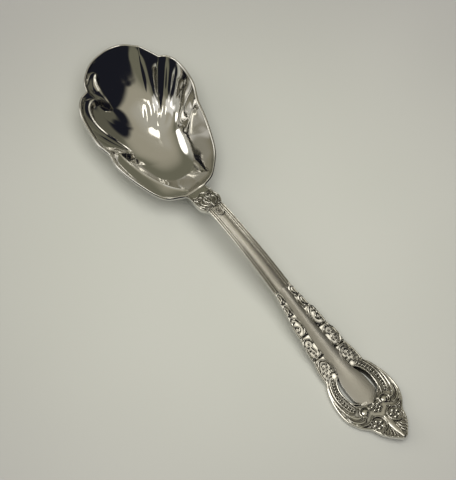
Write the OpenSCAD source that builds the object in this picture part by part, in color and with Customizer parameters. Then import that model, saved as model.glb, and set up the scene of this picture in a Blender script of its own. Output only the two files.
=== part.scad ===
// One-piece sugar spoon with a lobed, fluted bowl and a pierced, ornamented handle.
// The origin is the point of the bowl's resting flat that lies on the handle's long axis.
// The bowl points along +Y, the handle along -Y, and the hollow of the bowl opens along +Z.
// The real spoon is struck from one blank, so each node is a named region of that blank,
// and neighbouring regions meet face to face.

/* [Bowl] */
// Length of the bowl from the neck to the far lobe
bowl_l = 57.1; // [46:0.1:72]
// Width of the bowl across the side lobes
bowl_w = 37; // [30:0.2:46]
// Height of the highest lobe of the rim above the table
rim_h = 12.5; // [10:0.1:16]
// Height of the rim above the table at the neck
neck_h = 10; // [8:0.1:13]
// Thickness of the metal at the floor of the bowl
floor_t = 1.2; // [0.8:0.1:2]
// Width of the polished land along the top of the rim
rim_land_w = 0.9; // [0.5:0.05:1.4]
// Height of the upright edge outside the land
rim_edge_t = 0.7; // [0.4:0.05:1]
// Depth of the flat on the underside where the bowl rests
rest_flat_d = 0.35; // [0.2:0.05:0.5]
// Width of the pressed flange along the left side
flange_w = 4.4; // [3:0.1:6]
// Drop from the flange to the fluted hollow
flange_drop = 0.8; // [0.3:0.05:1.2]
// Rise of the flange's inner edge over the line of the wall, which makes the flange lie flatter
flange_rise = 1.4; // [0.6:0.05:1.8]
// Depth of the scoops between the creases of the flutes
flute_d = 0.8; // [0.2:0.05:1.2]

/* [Neck] */
// Width of the bowl's straight edge where the neck leaves it
neck_w = 6.8; // [5.5:0.1:8.5]
// Length of the ornamented collar
collar_l = 9.2; // [7:0.1:12]
// Width of the collar at its shoulders
collar_w = 7.6; // [6.8:0.1:10]
// Thickness of the collar at its middle
collar_t = 3; // [2.2:0.1:4]
// Height of the collar's relief
collar_relief = 0.5; // [0.2:0.05:0.8]

/* [Stem] */
// Length of the threaded stem
stem_l = 31.4; // [24:0.1:42]
// Width of the stem at the collar
stem_w = 5; // [4.4:0.1:6.4]
// Width of the stem where the cartouches begin
stem_end_w = 5.8; // [5:0.1:7]
// Thickness of the stem
stem_t = 2.4; // [1.8:0.1:3.2]
// Height of the top of the stem above the table
arch_h = 13.4; // [11:0.1:17]
// Inset of the handle's underside from its outline, which slopes its edges inwards
under_inset = 0.8; // [0.2:0.05:1.2]
// Width of each band of thread ridges
thread_band_w = 1.5; // [1:0.1:1.9]
// Number of thread ridges in each band
thread_count = 3; // [1:1:4]
// Height of the thread ridges
thread_h = 0.3; // [0.1:0.05:0.5]

/* [Grip] */
// Length of the row of cartouches along each border
cartouche_l = 28.5; // [22:0.1:38]
// Width of the handle where the cartouches end and the slots begin
waist_w = 13.2; // [11:0.1:15]
// Swell of the outline at each large cartouche
lobe_swell = 0.35; // [0.1:0.05:0.6]
// Width of the handle across its widest part
grip_w = 18.8; // [17:0.1:24]
// Width of the plain panel where the cartouches begin
panel_start_w = 2.6; // [2.2:0.1:3.4]
// Width of the plain panel where the slots begin
panel_neck_w = 5.4; // [4.6:0.1:6.4]
// Width of the plain panel at its widest part, between the slots
panel_w = 7.3; // [6:0.1:8.6]
// Height of the crown across the plain panel
panel_crown = 0.4; // [0.1:0.05:0.8]
// Thickness of the grip where it rests on the table
grip_t = 2; // [1.5:0.1:3]
// Length of the pierced slots
slot_l = 9.7; // [7:0.1:13]
// Width of the pierced slots at their middle
slot_w = 1.3; // [0.8:0.05:1.8]
// Length of the metal left between a slot and the regions past its ends
bridge_l = 0.4; // [0.2:0.05:1]
// Height of the borders' relief above their ground
relief_h = 0.6; // [0.2:0.05:0.8]
// Drop of the handle's face from its axis to its widest edge
edge_drop = 0.6; // [0:0.05:0.9]
// Spacing of the beads in the rows outside the slots
bead_pitch = 0.9; // [0.7:0.05:1.4]

/* [Terminal] */
// Length of the terminal with its scrolls and flowers
terminal_l = 15.3; // [12:0.1:20]
// Height of the handle's end above the table
tip_h = 3.9; // [2.5:0.1:6]
// Width of the blunt end
tip_w = 1.8; // [1:0.1:3]
// Diameter of the scroll eyes
scroll_d = 3.4; // [2.4:0.1:4.4]
// Diameter of the central flower
flower_d = 3.4; // [2.6:0.1:4.4]
// Number of ribs in the shell at the end
shell_ribs = 7; // [3:2:11]

/* [Hidden] */

// Places along the length
neck_share = 0.4396;
neck_y = -neck_share * bowl_l;
collar_y = neck_y - collar_l;
grip_y = collar_y - stem_l;
waist_y = grip_y - cartouche_l;
terminal_y = waist_y - slot_l - 2 * bridge_l;
tip_y = terminal_y - terminal_l;

// Blends and curves
function mix(a, b, t) = a + (b - a) * t;
function clamp(t) = min(1, max(0, t));
function ease(t) = let (c = clamp(t)) c * c * (3 - 2 * c);
// A round hill of height 1 that falls to 0 where t reaches -1 and 1
function hill(t) = abs(t) < 1 ? pow(1 - t * t, 2) : 0;

// Smooth curve through points [x, y] in order of x
function span_of(points, x, i = 0) =
    i >= len(points) - 2 || x < points[i + 1][0] ? i : span_of(points, x, i + 1);
function slope_at(points, i) =
    let (a = points[max(0, i - 1)], b = points[min(len(points) - 1, i + 1)])
    (b[1] - a[1]) / (b[0] - a[0]);
function hermite(a, b, slope_a, slope_b, t) =
    a * (2 * pow(t, 3) - 3 * pow(t, 2) + 1) + slope_a * (pow(t, 3) - 2 * pow(t, 2) + t)
    + b * (3 * pow(t, 2) - 2 * pow(t, 3)) + slope_b * (pow(t, 3) - pow(t, 2));
function curve(points, x) =
    let (
        i = span_of(points, x),
        a = points[i],
        b = points[i + 1],
        w = b[0] - a[0]
    )
    hermite(a[1], b[1], slope_at(points, i) * w, slope_at(points, i + 1) * w, clamp((x - a[0]) / w));

// Smooth plane curve through a list of points, at t from 0 to 1 along the list
function tangent_at(points, i) =
    (points[min(len(points) - 1, i + 1)] - points[max(0, i - 1)]) / (i == 0 || i == len(points) - 1 ? 1 : 2);
function trace(points, t) =
    let (
        s = clamp(t) * (len(points) - 1),
        i = min(len(points) - 2, floor(s))
    )
    hermite(points[i], points[i + 1], tangent_at(points, i), tangent_at(points, i + 1), s - i);

// Height of the handle's face on its axis, as shares of its length from the end and of its arch
profile_shares = [
    [0.105, 0.038], [0.21, 0.002], [0.315, 0.054], [0.42, 0.235], [0.53, 0.449], [0.64, 0.662], [0.76, 0.864], [0.88, 0.982]
];
profile = concat(
    [[tip_y, tip_h]],
    [for (p = profile_shares) [mix(tip_y, collar_y, p[0]), mix(grip_t, arch_h, p[1])]],
    [[collar_y, arch_h], [neck_y, neck_h]]
);
function face_h(y) = curve(profile, y);

// Half width of the handle, with the swell of the three large cartouches
terminal_outline_shares = [
    [0.035, 0.189], [0.1, 0.349], [0.182, 0.489], [0.29, 0.606], [0.364, 0.777], [0.426, 0.878],
    [0.508, 0.968], [0.612, 1], [0.729, 0.979], [0.853, 0.899], [0.946, 0.8]
];
terminal_outline = concat(
    [[tip_y, tip_w / 2]],
    [for (p = terminal_outline_shares) [mix(tip_y, waist_y, p[0]), max(tip_w, p[1] * grip_w) / 2]],
    [[waist_y, waist_w / 2]]
);
// Ends of the cartouches, as shares of the row from the stem to the slots
cartouche_shares = [0, 0.133, 0.267, 0.502, 0.751, 1];
first_large = 2;
function cartouche_end(i) = mix(grip_y, waist_y, cartouche_shares[i]);
function swell(y) =
    max([for (i = [first_large:len(cartouche_shares) - 2])
        let (t = (y - cartouche_end(i)) / (cartouche_end(i + 1) - cartouche_end(i)))
        t > 0 && t < 1 ? pow(sin(180 * t), 0.7) : 0]) * lobe_swell;
function half_w(y) =
    y < waist_y ? curve(terminal_outline, y)
    : y < grip_y ? mix(waist_w, stem_end_w, (y - waist_y) / cartouche_l) / 2 + swell(y)
    : mix(stem_end_w, stem_w, (y - grip_y) / stem_l) / 2;

// Half width of the plain panel
panel_outline_shares = [[0.2, 0.62], [0.42, 0.95], [0.68, 1], [0.86, 0.9]];
panel_outline = concat(
    [[terminal_y, panel_neck_w / 2]],
    [for (i = [len(panel_outline_shares) - 1:-1:0])
        let (p = panel_outline_shares[i])
        [mix(waist_y, terminal_y, p[0]), mix(panel_neck_w, panel_w, p[1]) / 2]],
    [[waist_y, panel_neck_w / 2], [grip_y, panel_start_w / 2]]
);
function panel_half(y) = curve(panel_outline, y);

// Opening between the panel and a border
function slot_gap(y) =
    let (t = (waist_y - bridge_l - y) / slot_l)
    t > 0 && t < 1 ? slot_w * sqrt(sin(180 * t)) : 0;

// Top face of the handle before its relief: a crown that falls towards the edges
function crowned(x, y) = face_h(y) - edge_drop * pow(x / (grip_w / 2), 2);

// Relief of a cartouche: a raised ring round a raised heart
function cartouche_relief(x, y, i) =
    let (
        y_a = cartouche_end(i),
        y_b = cartouche_end(i + 1),
        y_c = (y_a + y_b) / 2,
        x_c = (panel_half(y_c) + half_w(y_c)) / 2,
        r = norm([(x - x_c) / ((half_w(y_c) - panel_half(y_c)) / 2), (y - y_c) / ((y_a - y_b) / 2)])
    )
    max(hill((r - 0.78) / 0.3), 0.9 * hill(r / 0.42));
// Relief of the band outside a slot: edge ridges, a bead row and two sweeping ridges
function bead_wave(y) = 0.5 + 0.5 * cos(360 * y / bead_pitch);
function band_relief(x, y) =
    let (t = (x - panel_half(y) - slot_gap(y)) / (half_w(y) - panel_half(y) - slot_gap(y)))
    max(
        0.7 * hill((t - 0.06) / 0.1),
        hill((t - 0.28) / 0.14) * bead_wave(y),
        0.6 * hill((t - 0.52) / 0.1),
        0.6 * hill((t - 0.7) / 0.1),
        0.8 * hill((t - 0.93) / 0.1)
    );
function border_relief(x, y) =
    y < waist_y ? band_relief(x, y)
    : max([for (i = [0:len(cartouche_shares) - 2]) cartouche_relief(x, y, i)]);
function border_top(x, y) = crowned(x, y) - relief_h / 2 + relief_h * border_relief(x, y);

// Relief of the threads along the stem: ridges side by side, with the panel between the bands
function thread_relief(x, y) =
    let (t = (half_w(y) - abs(x)) / thread_band_w)
    t < 1 ? thread_h * (abs(cos(180 * thread_count * t)) - 1) : 0;

// Places on the terminal, as shares of its length from the panel and of the handle's half width
scroll_place_shares = [0.19, 0.39];
blossom_place_shares = [0.53, 0.34];
blossom_size_share = 0.9;
shell_eye_share = 0.55;
flower_place_share = 0.17;
petal_count = 6;
function terminal_place(p) = [p[1] * grip_w / 2, mix(terminal_y, tip_y, p[0])];
// A coiled scroll eye seen from above: a raised rim round a raised button
function eye_relief(x, y, c, d) =
    let (r = norm([x, y] - c) / (d / 2))
    max(hill((r - 0.85) / 0.3), hill(r / 0.45));
// A flower with round petals about a button
function flower_relief(x, y, c, d) =
    let (r = norm([x, y] - c) / (d / 2), a = atan2(y - c[1], x - c[0]))
    max(hill((r - 0.7) / 0.38) * (0.55 + 0.45 * cos(petal_count * a)), hill(r / 0.3));
// A shell whose ribs spread from its eye to the end of the handle
function shell_relief(x, y) =
    let (
        eye_y = mix(terminal_y, tip_y, shell_eye_share),
        reach = eye_y - tip_y,
        r = norm([x, y - eye_y]) / reach,
        a = atan2(x, eye_y - y)
    )
    abs(a) < 80 ? 0.8 * ease(r / 0.3) * (0.5 + 0.5 * cos(shell_ribs * a * 2)) : 0;
function rim_relief(x, y) = 0.8 * hill((half_w(y) - abs(x) - relief_h) / relief_h);
function terminal_relief(x, y) =
    let (
        eye = terminal_place(scroll_place_shares),
        blossom = terminal_place(blossom_place_shares),
        flower = [0, mix(terminal_y, tip_y, flower_place_share)]
    )
    max(
        eye_relief(abs(x), y, eye, scroll_d),
        flower_relief(abs(x), y, blossom, flower_d * blossom_size_share),
        flower_relief(x, y, flower, flower_d),
        shell_relief(x, y),
        rim_relief(x, y)
    );

// Half width and relief of the collar between the stem and the bowl
collar_outline_shares = [[0.12, 0.86], [0.3, 1], [0.55, 0.97], [0.8, 0.92]];
collar_outline = concat(
    [[collar_y, stem_w / 2]],
    [for (p = collar_outline_shares) [mix(collar_y, neck_y, p[0]), p[1] * collar_w / 2]],
    [[neck_y, neck_w / 2]]
);
function collar_half(y) = curve(collar_outline, y);
// Leaves and buds on the stem's side of the collar and a plain tongue on the bowl's side
leaf_waves = 3;
function collar_face(x, y) =
    let (
        t = (y - collar_y) / collar_l,
        u = x / collar_half(y),
        carved = ease(t / 0.12) * (1 - ease((t - 0.62 + 0.18 * u * u) / 0.12))
    )
    face_h(y) - edge_drop * u * u * (1 - t)
    + collar_relief * (sin(180 * clamp(t)) + carved * 0.5 * cos(360 * leaf_waves * u) * cos(360 * leaf_waves * t));
function collar_under(y) =
    let (t = (y - collar_y) / collar_l)
    face_h(y) - mix(stem_t, floor_t, t) - (collar_t - mix(stem_t, floor_t, 0.5)) * sin(180 * clamp(t));

// Stations along a stretch, evenly spaced from a to b
function stations(a, b, n) = [for (i = [0:n]) mix(a, b, i / n)];

// Inset of the underside where the handle is half_width wide to each side
function inset_at(half_width) = min(under_inset, half_width / 2);

// Solid between two side outlines and two faces, from stations of rising y.
// The underside is straight across, with a full row of points at the two ends only, and is
// narrower than the face by the insets on its left and right.
module slab(ys, n, left, right, top, under, left_inset, right_inset) {
    m = len(ys) - 1;
    function across(y, i) = mix(left(y), right(y), i / n);
    function under_left(y) = left(y) + left_inset(y);
    function under_right(y) = right(y) - right_inset(y);
    function under_point(y, t) = [mix(under_left(y), under_right(y), t), y, under(y)];
    face_points = [for (y = ys) for (i = [0:n]) [across(y, i), y, top(across(y, i), y)]];
    first_row = [for (i = [0:n]) under_point(ys[0], i / n)];
    last_row = [for (i = [0:n]) under_point(ys[m], i / n)];
    side_points = [for (j = [1:m - 1]) for (t = [0, 1]) under_point(ys[j], t)];
    first_at = (m + 1) * (n + 1);
    last_at = first_at + n + 1;
    side_at = last_at + n + 1;
    function face_i(j, i) = j * (n + 1) + i;
    // Index of the left or right point of the underside at station j
    function under_i(j, right_side) =
        j == 0 ? first_at + (right_side ? n : 0)
        : j == m ? last_at + (right_side ? n : 0)
        : side_at + (j - 1) * 2 + (right_side ? 1 : 0);
    face_faces = [for (j = [0:m - 1]) for (i = [0:n - 1]) each [
        [face_i(j, i), face_i(j + 1, i), face_i(j + 1, i + 1)],
        [face_i(j, i), face_i(j + 1, i + 1), face_i(j, i + 1)]
    ]];
    left_faces = [for (j = [0:m - 1]) each [
        [face_i(j, 0), under_i(j, false), under_i(j + 1, false)],
        [face_i(j, 0), under_i(j + 1, false), face_i(j + 1, 0)]
    ]];
    right_faces = [for (j = [0:m - 1]) each [
        [face_i(j, n), under_i(j + 1, true), under_i(j, true)],
        [face_i(j, n), face_i(j + 1, n), under_i(j + 1, true)]
    ]];
    first_faces = [for (i = [0:n - 1]) each [
        [face_i(0, i), face_i(0, i + 1), first_at + i + 1],
        [face_i(0, i), first_at + i + 1, first_at + i]
    ]];
    last_faces = [for (i = [0:n - 1]) each [
        [face_i(m, i), last_at + i + 1, face_i(m, i + 1)],
        [face_i(m, i), last_at + i, last_at + i + 1]
    ]];
    under_faces = concat(
        [for (i = [0:n - 1]) [first_at + i, first_at + i + 1, under_i(1, false)]],
        [[first_at + n, under_i(1, true), under_i(1, false)]],
        [for (j = [1:m - 2]) each [
            [under_i(j, false), under_i(j, true), under_i(j + 1, true)],
            [under_i(j, false), under_i(j + 1, true), under_i(j + 1, false)]
        ]],
        [for (i = [0:n - 1]) [last_at + i, under_i(m - 1, false), last_at + i + 1]],
        [[last_at + n, under_i(m - 1, false), under_i(m - 1, true)]]
    );
    polyhedron(
        concat(face_points, first_row, last_row, side_points),
        concat(face_faces, left_faces, right_faces, first_faces, last_faces, under_faces)
    );
}

// Outline of the bowl as lobes, each from one notch to the next, in shares of the bowl's
// width from the handle's axis and of its length from the neck
left_lobe_shares = [[-0.246, 0.063], [-0.331, 0.208], [-0.369, 0.362], [-0.349, 0.453]];
side_lobe_shares = [[-0.349, 0.453], [-0.37, 0.553], [-0.335, 0.7], [-0.292, 0.778], [-0.224, 0.831], [-0.143, 0.851]];
far_lobe_shares = [[-0.143, 0.851], [-0.114, 0.898], [-0.051, 0.945], [0.059, 0.988], [0.216, 1], [0.351, 0.974], [0.457, 0.91]];
short_lobe_shares = [[0.457, 0.91], [0.497, 0.848], [0.53, 0.791]];
right_lobe_shares = [[0.53, 0.791], [0.595, 0.757], [0.63, 0.679], [0.608, 0.545], [0.522, 0.419]];
heel_lobe_shares = [[0.522, 0.419], [0.469, 0.304], [0.398, 0.189], [0.34, 0.117], [0.262, 0.06], [0.187, 0.02]];
function placed(shares) = [for (p = shares) [p[0] * bowl_w, neck_y + p[1] * bowl_l]];
neck_left = [-neck_w / 2, neck_y];
neck_right = [neck_w / 2, neck_y];
lobes = [
    concat([neck_left], placed(left_lobe_shares)),
    placed(side_lobe_shares),
    placed(far_lobe_shares),
    placed(short_lobe_shares),
    placed(right_lobe_shares),
    concat(placed(heel_lobe_shares), [neck_right]),
    [neck_right, neck_left]
];
// For each lobe: steps along it, rim height at its start and end, flange and scoop at both ends
lobe_steps = [15, 15, 21, 6, 15, 18, 4];
rim_shares = [0.8, 0.85, 0.99, 0.99, 0.975];
rim_heights = concat([neck_h], rim_shares * rim_h, [neck_h, neck_h]);
flange_shares = [1.2, 1, 0.9, 0, 0, 0, 0.7, 1.2];
scoop_shares = [0, 0.35, 1, 0.6, 1, 0.4, 0];
rim = [for (k = [0:len(lobes) - 1]) for (i = [0:lobe_steps[k] - 1])
    let (u = i / lobe_steps[k], p = trace(lobes[k], u))
    [
        p[0], p[1],
        mix(rim_heights[k], rim_heights[k + 1], ease(u)),
        mix(flange_shares[k], flange_shares[k + 1], ease(u)),
        scoop_shares[k] * 4 * u * (1 - u)
    ]
];

// Deepest point of the hollow and the rings round it, as shares of the way to the rim
centre_shares = [0.119, 0.017];
centre = [centre_shares[0] * bowl_w, centre_shares[1] * bowl_l];
wall_power = 2.6;
inner_rings = 10;
outer_rings = 2;
plain_step_share = 0.85;
step_share = 0.012;
// Share of the way to the rim at which the flange steps down, on the spoke to rim point r
function step_at(r) =
    mix(plain_step_share, 1 - flange_w / norm([r[0], r[1]] - centre), r[3]);
// Share of the way to the rim at which the land begins
function land_at(r) = 1 - rim_land_w / norm([r[0], r[1]] - centre);
// The last ring is the outline, and the one before it the inner edge of the land
rings = inner_rings + 1 + outer_rings + 1;
function ring_at(r, k) =
    k <= inner_rings ? step_at(r) * k / inner_rings
    : k == rings ? 1
    : mix(step_at(r) + step_share, land_at(r), (k - inner_rings - 1) / outer_rings);
function pressed(r, k) =
    let (
        t = ring_at(r, k),
        dip = flute_d * r[4] * sin(180 * pow(t, 1.4)),
        drop = k <= inner_rings ? flange_drop * r[3] * pow(t / step_at(r), 3) : 0
    )
    dip + drop;
// Rise of the hollow on the flange, from its inner edge down to the land
function raised(r, k) =
    k > inner_rings && k < rings
        ? flange_rise * r[3] * (1 - (k - inner_rings - 1) / outer_rings)
        : 0;
function hollow_h(r, k) =
    let (t = min(1, ring_at(r, k) / land_at(r)))
    mix(floor_t - rest_flat_d, r[2], pow(t, wall_power)) - pressed(r, k) + raised(r, k);
function under_h(r, k) =
    mix(-rest_flat_d, r[2] - rim_edge_t, pow(ring_at(r, k), wall_power)) - pressed(r, k);

// Closed shell between the hollow and the underside, ring by ring from the deepest point
module shell() {
    n = len(rim);
    function spot(r, k) = mix(centre, [r[0], r[1]], ring_at(r, k));
    hollow = [for (k = [1:rings]) for (r = rim) [spot(r, k)[0], spot(r, k)[1], hollow_h(r, k)]];
    under = [for (k = [1:rings]) for (r = rim)
        [spot(r, k)[0], spot(r, k)[1], under_h(r, k)]];
    middle = [
        [centre[0], centre[1], floor_t - rest_flat_d],
        [centre[0], centre[1], -rest_flat_d]
    ];
    under_at = rings * n;
    middle_at = 2 * under_at;
    function hollow_i(k, i) = (k - 1) * n + i % n;
    function under_i(k, i) = under_at + hollow_i(k, i);
    hollow_faces = [for (k = [1:rings - 1]) for (i = [0:n - 1]) each [
        [hollow_i(k, i), hollow_i(k + 1, i + 1), hollow_i(k, i + 1)],
        [hollow_i(k, i), hollow_i(k + 1, i), hollow_i(k + 1, i + 1)]
    ]];
    under_faces = [for (k = [1:rings - 1]) for (i = [0:n - 1]) each [
        [under_i(k, i), under_i(k, i + 1), under_i(k + 1, i + 1)],
        [under_i(k, i), under_i(k + 1, i + 1), under_i(k + 1, i)]
    ]];
    rim_faces = [for (i = [0:n - 1]) each [
        [hollow_i(rings, i), under_i(rings, i + 1), hollow_i(rings, i + 1)],
        [hollow_i(rings, i), under_i(rings, i), under_i(rings, i + 1)]
    ]];
    middle_faces = [for (i = [0:n - 1]) each [
        [middle_at, hollow_i(1, i), hollow_i(1, i + 1)],
        [middle_at + 1, under_i(1, i + 1), under_i(1, i)]
    ]];
    polyhedron(
        concat(hollow, under, middle),
        concat(hollow_faces, under_faces, rim_faces, middle_faces)
    );
}

// Lobed bowl with its pressed flange, ground flat where it rests
module bowl() {
    color("silver")
    difference() {
        shell();
        translate([-bowl_w, -bowl_l, -rim_h]) cube([2 * bowl_w, 2 * bowl_l, rim_h]);
    }
}

// Ornamented collar between the bowl and the stem
collar_steps = 18;
collar_columns = 20;
module collar() {
    color("gray")
    slab(
        stations(collar_y, neck_y, collar_steps), collar_columns,
        function(y) -collar_half(y), function(y) collar_half(y),
        function(x, y) collar_face(x, y), function(y) collar_under(y),
        function(y) inset_at(collar_half(y)), function(y) inset_at(collar_half(y))
    );
}

// Arched stem with a band of threads along each edge
stem_steps = 26;
stem_columns = 36;
module stem() {
    color("darkgray")
    slab(
        stations(grip_y, collar_y, stem_steps), stem_columns,
        function(y) -half_w(y), function(y) half_w(y),
        function(x, y) crowned(x, y) + thread_relief(x, y), function(y) face_h(y) - stem_t,
        function(y) inset_at(half_w(y)), function(y) inset_at(half_w(y))
    );
}

// Thickness of the grip, from the stem's to the resting part's
function grip_under(y) = face_h(y) - mix(grip_t, stem_t, ease((y - waist_y) / cartouche_l));
grip_steps = 104;
grip_ys = stations(terminal_y, grip_y, grip_steps);

// Plain satin panel that widens between the slots
panel_columns = 8;
module panel() {
    color("darkgray")
    slab(
        grip_ys, panel_columns,
        function(y) -panel_half(y), function(y) panel_half(y),
        function(x, y) crowned(x, y) + panel_crown * (1 - pow(x / panel_half(y), 2)) - relief_h / 2,
        function(y) grip_under(y),
        function(y) 0, function(y) 0
    );
}

// Border with its cartouches and the beaded band outside the slot
border_columns = 14;
module border(side) {
    color("gray")
    slab(
        grip_ys, border_columns,
        function(y) side > 0 ? panel_half(y) + slot_gap(y) : -half_w(y),
        function(y) side > 0 ? half_w(y) : -panel_half(y) - slot_gap(y),
        function(x, y) border_top(abs(x), y),
        function(y) grip_under(y),
        function(y) side > 0 ? 0 : inset_at(half_w(y)),
        function(y) side > 0 ? inset_at(half_w(y)) : 0
    );
}
module border_left() { border(-1); }
module border_right() { border(1); }

// Terminal with its scrolls, flowers and shell
terminal_steps = 40;
terminal_columns = 40;
module terminal() {
    color("gray")
    slab(
        stations(tip_y, terminal_y, terminal_steps), terminal_columns,
        function(y) -half_w(y), function(y) half_w(y),
        function(x, y) crowned(x, y) - relief_h / 2 + relief_h * terminal_relief(x, y),
        function(y) grip_under(y),
        function(y) inset_at(half_w(y)), function(y) inset_at(half_w(y))
    );
}

bowl();
collar();
stem();
panel();
border_left();
border_right();
terminal();
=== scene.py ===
import math

import bpy
import numpy as np
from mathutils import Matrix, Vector


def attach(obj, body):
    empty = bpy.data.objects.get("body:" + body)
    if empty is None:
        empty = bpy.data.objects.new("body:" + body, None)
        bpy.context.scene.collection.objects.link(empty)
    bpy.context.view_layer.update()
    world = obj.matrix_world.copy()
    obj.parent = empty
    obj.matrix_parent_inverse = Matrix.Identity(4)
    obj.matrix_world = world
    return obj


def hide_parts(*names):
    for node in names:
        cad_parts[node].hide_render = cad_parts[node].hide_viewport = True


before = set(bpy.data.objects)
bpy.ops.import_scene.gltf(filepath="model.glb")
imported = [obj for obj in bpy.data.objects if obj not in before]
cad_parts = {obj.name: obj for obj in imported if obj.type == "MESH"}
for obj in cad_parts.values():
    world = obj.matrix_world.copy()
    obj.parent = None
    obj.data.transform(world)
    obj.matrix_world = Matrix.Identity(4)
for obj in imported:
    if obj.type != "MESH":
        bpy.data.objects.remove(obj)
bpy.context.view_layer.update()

# Lengths are in millimetres until a mesh is made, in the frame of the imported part.
MM = 0.001
# Longer than any length here, shorter than any that matters, and next to nothing
FAR_AWAY, HAIR, TINY = 1e9, 1e-6, 1e-12

# Driving sizes of the spoon
BOWL_L, BOWL_W = 57.1, 37.0
RIM_H, NECK_H, NECK_W = 12.5, 10.0, 6.8
FLOOR_T, REST_FLAT_D = 1.2, 0.35
RIM_LAND_W, RIM_EDGE_T = 0.9, 0.7
FLANGE_DROP, FLUTE_D = 0.8, 0.8
COLLAR_L, COLLAR_W, COLLAR_T = 9.2, 7.6, 3.0
STEM_L, STEM_W, STEM_END_W, STEM_T, ARCH_H = 31.4, 5.0, 5.8, 2.4, 13.4
CARTOUCHE_L, WAIST_W, LOBE_SWELL = 28.5, 13.2, 0.35
GRIP_W, GRIP_T = 18.8, 2.0
PANEL_START_W, PANEL_NECK_W, PANEL_W, PANEL_CROWN = 2.6, 5.4, 7.3, 0.4
SLOT_L, SLOT_W, BRIDGE_L = 9.7, 1.3, 0.4
RELIEF_H, EDGE_DROP, UNDER_INSET = 0.6, 0.6, 0.8
TERMINAL_L, TIP_H, TIP_W = 15.3, 3.9, 1.8

# Places along the length
NECK_Y = -0.4396 * BOWL_L
COLLAR_Y = NECK_Y - COLLAR_L
GRIP_Y = COLLAR_Y - STEM_L
WAIST_Y = GRIP_Y - CARTOUCHE_L
TERMINAL_Y = WAIST_Y - SLOT_L - 2 * BRIDGE_L
TIP_Y = TERMINAL_Y - TERMINAL_L


def mix(a, b, t):
    return a + (b - a) * t


def clamp(t):
    return np.clip(t, 0, 1)


def ease(t):
    c = clamp(t)
    return c * c * (3 - 2 * c)


def hill(t):
    return np.where(np.abs(t) < 1, (1 - np.minimum(t * t, 1)) ** 2, 0)


def dome(r):
    """Half-round section: 1 at r = 0, 0 from r = 1 on."""
    return np.sqrt(np.clip(1 - r * r, 0, 1))


def hermite(a, b, slope_a, slope_b, t):
    return (
        a * (2 * t**3 - 3 * t**2 + 1) + slope_a * (t**3 - 2 * t**2 + t)
        + b * (3 * t**2 - 2 * t**3) + slope_b * (t**3 - t**2)
    )


def curve(points, x):
    """Smooth curve through points [x, y] in order of x."""
    p = np.array(points, float)
    last = len(p) - 1
    before = np.maximum(np.arange(len(p)) - 1, 0)
    after = np.minimum(np.arange(len(p)) + 1, last)
    slopes = (p[after, 1] - p[before, 1]) / (p[after, 0] - p[before, 0])
    i = np.clip(np.searchsorted(p[:, 0], x, side="right") - 1, 0, last - 1)
    w = p[i + 1, 0] - p[i, 0]
    return hermite(p[i, 1], p[i + 1, 1], slopes[i] * w, slopes[i + 1] * w, clamp((x - p[i, 0]) / w))


def trace(points, t):
    """Smooth plane curve through a list of points, at t from 0 to 1."""
    p = np.array(points, float)
    last = len(p) - 1
    tangents = np.empty_like(p)
    tangents[1:-1] = (p[2:] - p[:-2]) / 2
    tangents[0], tangents[-1] = p[1] - p[0], p[-1] - p[-2]
    s = clamp(np.asarray(t, float)) * last
    i = np.minimum(last - 1, np.floor(s).astype(int))
    f = (s - i)[..., None]
    return hermite(p[i], p[i + 1], tangents[i], tangents[i + 1], f)


# Handle: face height, outline and panel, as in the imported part
PROFILE_SHARES = [
    [0.105, 0.038], [0.21, 0.002], [0.315, 0.054], [0.42, 0.235],
    [0.53, 0.449], [0.64, 0.662], [0.76, 0.864], [0.88, 0.982],
]
PROFILE = (
    [[TIP_Y, TIP_H]]
    + [[mix(TIP_Y, COLLAR_Y, a), mix(GRIP_T, ARCH_H, b)] for a, b in PROFILE_SHARES]
    + [[COLLAR_Y, ARCH_H], [NECK_Y, NECK_H]]
)
TERMINAL_OUTLINE_SHARES = [
    [0.035, 0.189], [0.1, 0.349], [0.182, 0.489], [0.29, 0.606], [0.364, 0.777], [0.426, 0.878],
    [0.508, 0.968], [0.612, 1], [0.729, 0.979], [0.853, 0.899], [0.946, 0.8],
]
TERMINAL_OUTLINE = (
    [[TIP_Y, TIP_W / 2]]
    + [[mix(TIP_Y, WAIST_Y, a), max(TIP_W, b * GRIP_W) / 2] for a, b in TERMINAL_OUTLINE_SHARES]
    + [[WAIST_Y, WAIST_W / 2]]
)
CARTOUCHE_SHARES = [0, 0.133, 0.267, 0.502, 0.751, 1]
CARTOUCHE_ENDS = [mix(GRIP_Y, WAIST_Y, c) for c in CARTOUCHE_SHARES]
PANEL_OUTLINE_SHARES = [[0.2, 0.62], [0.42, 0.95], [0.68, 1], [0.86, 0.9]]
PANEL_OUTLINE = (
    [[TERMINAL_Y, PANEL_NECK_W / 2]]
    + [[mix(WAIST_Y, TERMINAL_Y, a), mix(PANEL_NECK_W, PANEL_W, b) / 2]
       for a, b in reversed(PANEL_OUTLINE_SHARES)]
    + [[WAIST_Y, PANEL_NECK_W / 2], [GRIP_Y, PANEL_START_W / 2]]
)
COLLAR_OUTLINE_SHARES = [[0.12, 0.86], [0.3, 1], [0.55, 0.97], [0.8, 0.92]]
COLLAR_OUTLINE = (
    [[COLLAR_Y, STEM_W / 2]]
    + [[mix(COLLAR_Y, NECK_Y, a), b * COLLAR_W / 2] for a, b in COLLAR_OUTLINE_SHARES]
    + [[NECK_Y, NECK_W / 2]]
)


def face_h(y):
    """Height of the handle's face on its long axis."""
    return curve(PROFILE, y)


LOBE_ROUNDNESS = 0.7


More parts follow.
